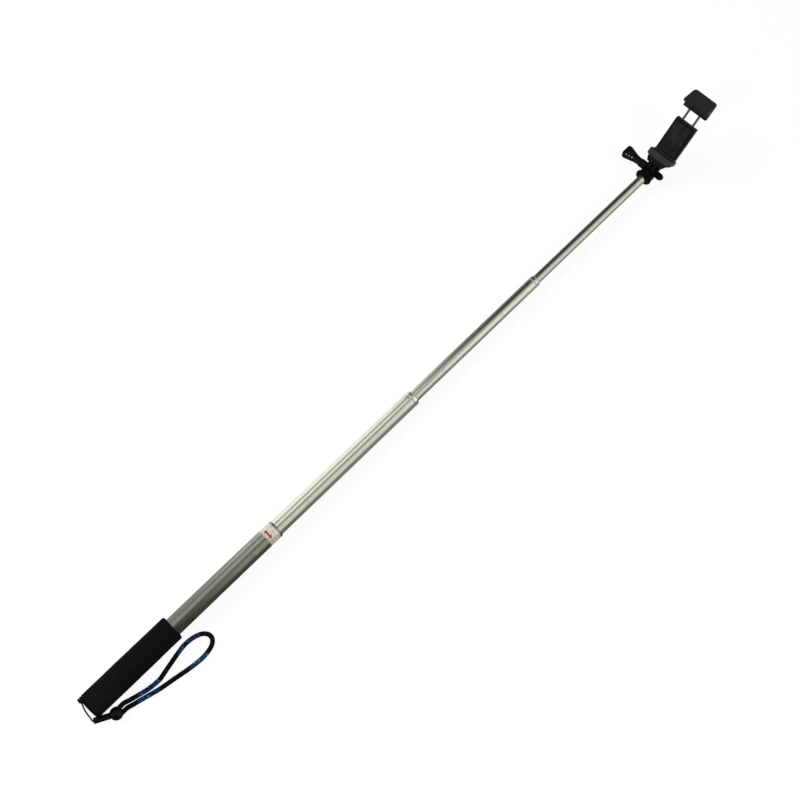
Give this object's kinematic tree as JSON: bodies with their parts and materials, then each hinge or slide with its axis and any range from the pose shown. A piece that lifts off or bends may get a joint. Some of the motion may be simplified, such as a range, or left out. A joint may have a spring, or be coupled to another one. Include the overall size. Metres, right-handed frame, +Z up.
{
  "type": "telescoping monopod",
  "caption": "Hand-held telescoping monopod with twist-locked tubes, a foam grip, a wrist lanyard and a sprung clip that tilts on a fork and a thumb bolt.",
  "frame": {"origin": "on the pole's axis where the outer tube leaves the foam grip", "axes": "+X along the pole from grip to head, +Y along the pivot bolt towards its handle, +Z up from the surface that the part lies on"},
  "size_m": [0.942, 0.0831, 0.0824],
  "materials": {
    "foam": "matte foam",
    "black_plastic": "fine matte grain",
    "tube_metal": "satin grey-olive anodising",
    "steel": "plain bright steel",
    "nylon": "natural nylon",
    "label": "printed film",
    "rubber": "soft matte rubber",
    "cord": "braided, dark with blue flecks",
    "string": "thin twisted string"
  },
  "bodies": {
    "handle": {"foam_grip": "foam", "butt_cap": "black_plastic", "string_knot": "string", "lanyard_string": "string", "lanyard_ferrule": "black_plastic", "cord_bead": "black_plastic", "lanyard_cord": "cord", "tube_1": "tube_metal", "lock_label": "label", "mouth_bush_1": "nylon"},
    "sleeve_2": {"lock_sleeve_2": "nylon"},
    "stage_2": {"tube_2": "tube_metal", "lock_stud_2": "black_plastic", "mouth_bush_2": "nylon"},
    "sleeve_3": {"lock_sleeve_3": "nylon"},
    "stage_3": {"tube_3": "tube_metal", "lock_stud_3": "black_plastic", "mouth_bush_3": "nylon"},
    "sleeve_4": {"lock_sleeve_4": "nylon"},
    "stage_4": {"tube_4": "tube_metal", "lock_stud_4": "black_plastic", "head_plug": "steel", "lock_disc": "black_plastic", "head_fork": "black_plastic", "pivot_nut": "steel"},
    "thumb": {"thumb_bolt": "steel", "thumb_handle": "black_plastic"},
    "clip": {"clip_base": "black_plastic", "clip_cover": "black_plastic", "cover_screws": "steel", "lower_pad": "rubber", "back_pad": "rubber", "jaw_springs": "steel"},
    "jaw": {"upper_jaw": "black_plastic", "upper_pad": "rubber", "guide_rods": "steel", "rod_collars": "steel"}
  },
  "joints": [
    {"name": "slide_2", "type": "slide", "parent": "handle", "child": "sleeve_2", "axis": [1, 0, 0], "range_m": [-0.19, 0]},
    {"name": "twist_2", "type": "hinge", "parent": "sleeve_2", "child": "stage_2", "pos_m": [0.1425, 0, 0], "axis": [1, 0, 0], "range_deg": [0, 30]},
    {"name": "slide_3", "type": "slide", "parent": "stage_2", "child": "sleeve_3", "axis": [1, 0, 0], "range_m": [-0.18, 0]},
    {"name": "twist_3", "type": "hinge", "parent": "sleeve_3", "child": "stage_3", "pos_m": [0.3465, 0, 0], "axis": [1, 0, 0], "range_deg": [0, 30]},
    {"name": "slide_4", "type": "slide", "parent": "stage_3", "child": "sleeve_4", "axis": [1, 0, 0], "range_m": [-0.176, 0]},
    {"name": "twist_4", "type": "hinge", "parent": "sleeve_4", "child": "stage_4", "pos_m": [0.5445, 0, 0], "axis": [1, 0, 0], "range_deg": [0, 30]},
    {"name": "thumb_turn", "type": "hinge", "parent": "stage_4", "child": "thumb", "pos_m": [0.7471, 0, 0], "axis": [0, 1, 0], "continuous": true},
    {"name": "clip_tilt", "type": "hinge", "parent": "stage_4", "child": "clip", "pos_m": [0.7471, 0, 0], "axis": [0, -1, 0], "range_deg": [-50, 40]},
    {"name": "jaw_slide", "type": "slide", "parent": "clip", "child": "jaw", "axis": [0.6428, 0, 0.766], "range_m": [-0.014, 0.013], "stiffness_N_per_m": 150, "springref_m": -0.03, "deforming": ["jaw_springs"]}
  ]
}
